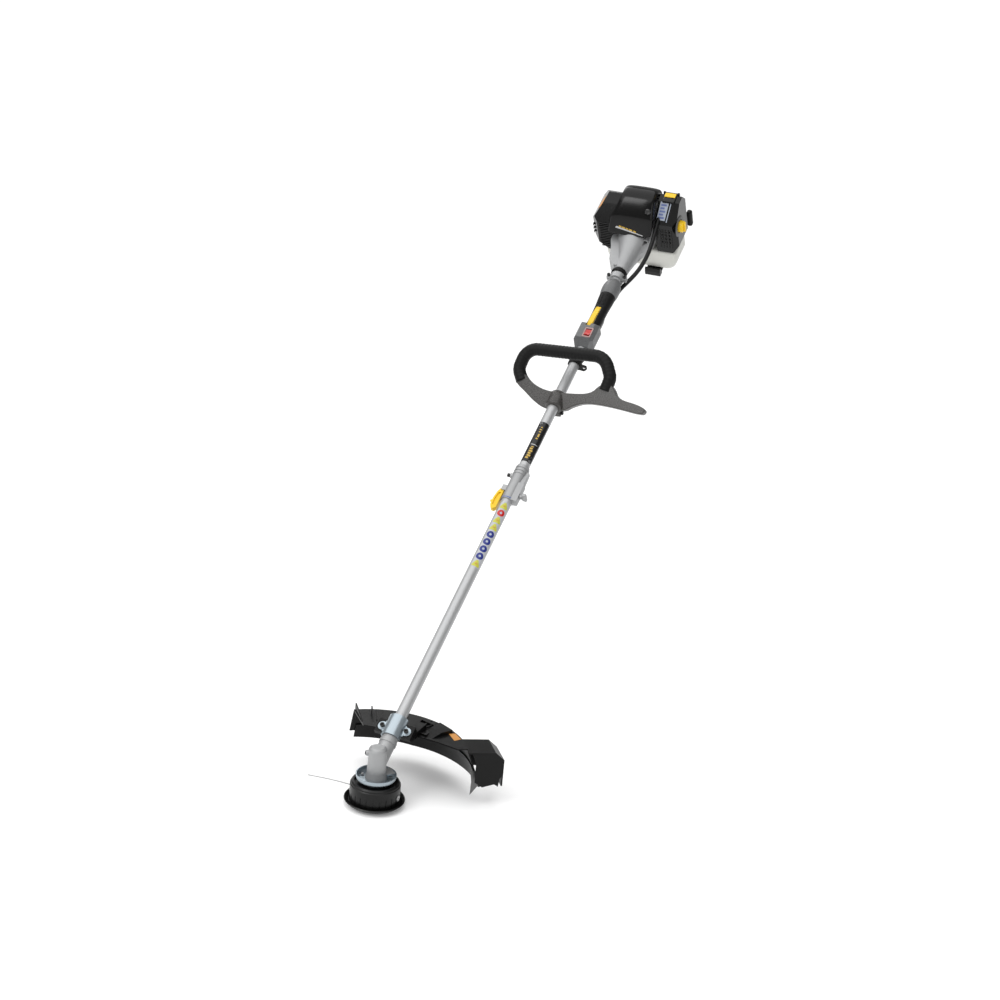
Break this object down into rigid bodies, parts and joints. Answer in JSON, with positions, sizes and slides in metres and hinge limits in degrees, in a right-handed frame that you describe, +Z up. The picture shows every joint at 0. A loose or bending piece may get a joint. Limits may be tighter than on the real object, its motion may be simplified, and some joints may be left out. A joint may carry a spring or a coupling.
{
  "type": "string trimmer",
  "caption": "Petrol string trimmer: split shaft with coupler, loop and rear handles, skirted guard, bevel gear case and bump-feed line head; controls and head move.",
  "frame": {"origin": "centre of the bump knob's flat underside, on the ground", "axes": "+Z up the output spindle, +X from the head towards the engine, +Y to the right of an operator who looks towards the head"},
  "size_m": [1.5509, 0.3877, 1.1621],
  "materials": {
    "black_nylon": "semi-gloss moulded nylon",
    "black_guard": "fine-grained polypropylene",
    "black_gloss": "glossy moulded cover",
    "grey_mica": "flecked dark grey nylon",
    "switch_grey": "matt grey nylon",
    "soft_black": "soft-touch grip rubber",
    "red_plastic": "glossy red",
    "yellow_plastic": "glossy amber yellow",
    "line_grey": "translucent nylon line",
    "tank_white": "translucent polyethylene",
    "primer_clear": "smoke-dark bulb rubber",
    "tube_satin": "satin anodised tube",
    "cast_silver": "fine cast and blasted",
    "zinc": "bright zinc plate",
    "steel": "ground steel",
    "blade_steel": "stamped spring steel",
    "dark_screw": "blackened screws",
    "muffler_metal": "heat-resistant coating"
  },
  "bodies": {
    "powerhead": {"upper_tube": "tube_satin", "coupler_body": "cast_silver", "powerhead_bearings": "steel", "loop_handle_frame": "grey_mica", "loop_handle_grip": "soft_black", "harness_clip": "black_nylon", "handle_shell_left": "switch_grey", "handle_shell_right": "switch_grey", "grip_sleeve": "soft_black", "throttle_conduit": "soft_black", "clutch_housing": "cast_silver", "engine_block": "cast_silver", "engine_shroud": "black_gloss", "muffler": "muffler_metal", "muffler_cover": "black_gloss", "fuel_tank": "tank_white", "stand_foot": "black_nylon", "starter_housing": "black_gloss", "carburettor": "cast_silver", "air_filter_cover": "black_gloss", "powerhead_screws": "dark_screw"},
    "attachment": {"lower_tube": "tube_satin", "gear_case": "cast_silver", "attachment_bearings": "steel", "wrap_guard_cup": "zinc", "guard_bracket": "zinc", "guard_shield": "black_guard", "guard_extension": "black_guard", "line_cutter": "blade_steel", "attachment_screws": "dark_screw"},
    "cutting_head": {"head_housing": "black_nylon", "skid_dish": "black_nylon", "line_spool": "black_nylon", "line_winding": "line_grey", "line_eyelets": "steel", "cutting_line": "line_grey", "drive_flange": "zinc", "output_spindle": "steel", "bevel_gear": "steel", "bump_spring": "steel"},
    "bump_knob": {"bump_knob": "black_nylon"},
    "lower_shaft": {"bevel_pinion": "steel", "lower_drive_shaft": "steel"},
    "upper_shaft": {"upper_drive_shaft": "steel", "clutch_drum": "steel"},
    "crank": {"crankshaft": "steel", "flywheel": "cast_silver", "clutch_shoes": "steel"},
    "starter_pulley": {"starter_pulley": "black_nylon"},
    "coupler_knob": {"coupler_knob": "zinc"},
    "latch_pin": {"latch_pin": "dark_screw"},
    "coupler_lever": {"coupler_lever": "yellow_plastic"},
    "throttle_trigger": {"throttle_trigger": "black_nylon"},
    "lockout_lever": {"lockout_lever": "yellow_plastic"},
    "stop_switch": {"stop_switch": "red_plastic"},
    "choke_knob": {"choke_knob": "yellow_plastic"},
    "primer_bulb": {"primer_bulb": "primer_clear"},
    "fuel_cap": {"fuel_cap": "black_nylon"},
    "filter_latch": {"filter_latch": "yellow_plastic"},
    "starter_handle": {"starter_handle": "soft_black"}
  },
  "joints": [
    {"name": "attachment_pull", "type": "slide", "parent": "powerhead", "child": "attachment", "axis": [-0.8192, 0, -0.5736], "range_m": [0, 0.054]},
    {"name": "head_spin", "type": "hinge", "parent": "attachment", "child": "cutting_head", "pos_m": [0, 0, 0], "axis": [0, 0, 1], "continuous": true},
    {"name": "bump_press", "type": "slide", "parent": "cutting_head", "child": "bump_knob", "axis": [0, 0, 1], "range_m": [0, 0.006], "stiffness_N_per_m": 900, "springref_m": -0.004, "deforming": ["bump_spring"]},
    {"name": "lower_shaft_spin", "type": "hinge", "parent": "attachment", "child": "lower_shaft", "pos_m": [0, 0, 0.089], "axis": [0.8192, 0, 0.5736], "continuous": true},
    {"name": "upper_shaft_spin", "type": "hinge", "parent": "powerhead", "child": "upper_shaft", "pos_m": [0.73724, 0, 0.60522], "axis": [0.8192, 0, 0.5736], "continuous": true},
    {"name": "crank_spin", "type": "hinge", "parent": "powerhead", "child": "crank", "pos_m": [1.3516, 0, 1.0354], "axis": [0.8192, 0, 0.5736], "continuous": true},
    {"name": "coupler_knob_turn", "type": "hinge", "parent": "powerhead", "child": "coupler_knob", "pos_m": [0.616, -0.03, 0.52033], "axis": [0, 1, 0], "range_deg": [0, 360]},
    {"name": "latch_pin_pull", "type": "slide", "parent": "powerhead", "child": "latch_pin", "axis": [0, 1, 0], "range_m": [0, 0.006], "stiffness_N_per_m": 500, "springref_m": -0.004},
    {"name": "coupler_lever_open", "type": "hinge", "parent": "powerhead", "child": "coupler_lever", "pos_m": [0.62419, 0.0196, 0.52607], "axis": [0.5736, 0, -0.8192], "range_deg": [0, 40]},
    {"name": "throttle_squeeze", "type": "hinge", "parent": "powerhead", "child": "throttle_trigger", "pos_m": [1.07309, 0, 0.81597], "axis": [0, -1, 0], "range_deg": [0, 12], "stiffness_Nm_per_rad": 0.6, "springref_deg": -14.32},
    {"name": "lockout_press", "type": "hinge", "parent": "powerhead", "child": "lockout_lever", "pos_m": [1.04663, 0, 0.84505], "axis": [0, 1, 0], "range_deg": [0, 3.5], "stiffness_Nm_per_rad": 0.6, "springref_deg": -11.46},
    {"name": "stop_switch_rock", "type": "hinge", "parent": "powerhead", "child": "stop_switch", "pos_m": [1.01329, -0.009, 0.83513], "axis": [0, -1, 0], "range_deg": [0, 12]},
    {"name": "choke_turn", "type": "hinge", "parent": "powerhead", "child": "choke_knob", "pos_m": [1.35012, -0.115, 1.07587], "axis": [0, 1, 0], "range_deg": [0, 60]},
    {"name": "primer_press", "type": "slide", "parent": "powerhead", "child": "primer_bulb", "axis": [0.9848, 0, -0.1736], "range_m": [0, 0.004], "stiffness_N_per_m": 300, "springref_m": -0.002},
    {"name": "fuel_cap_turn", "type": "hinge", "parent": "powerhead", "child": "fuel_cap", "pos_m": [1.46892, 0.042, 1.02477], "axis": [0.8192, 0, 0.5736], "range_deg": [0, 360]},
    {"name": "filter_latch_open", "type": "hinge", "parent": "powerhead", "child": "filter_latch", "pos_m": [1.34773, -0.078, 1.15599], "axis": [0, 1, 0], "range_deg": [0, 70]},
    {"name": "starter_pull", "type": "slide", "parent": "powerhead", "child": "starter_handle", "axis": [0, -1, 0], "range_m": [0, 0.6], "stiffness_N_per_m": 12, "springref_m": -0.05},
    {"name": "starter_pulley_spin", "type": "hinge", "parent": "powerhead", "child": "starter_pulley", "pos_m": [1.43761, 0, 1.09563], "axis": [-0.8192, 0, -0.5736], "range_deg": [0, 1300]}
  ],
  "couplings": [
    {"joint": "lower_shaft_spin", "follows": "head_spin", "ratio": -1.5},
    {"joint": "upper_shaft_spin", "follows": "head_spin", "ratio": -1.5},
    {"joint": "starter_pulley_spin", "follows": "starter_pull", "rad_per_m": 35.714}
  ]
}
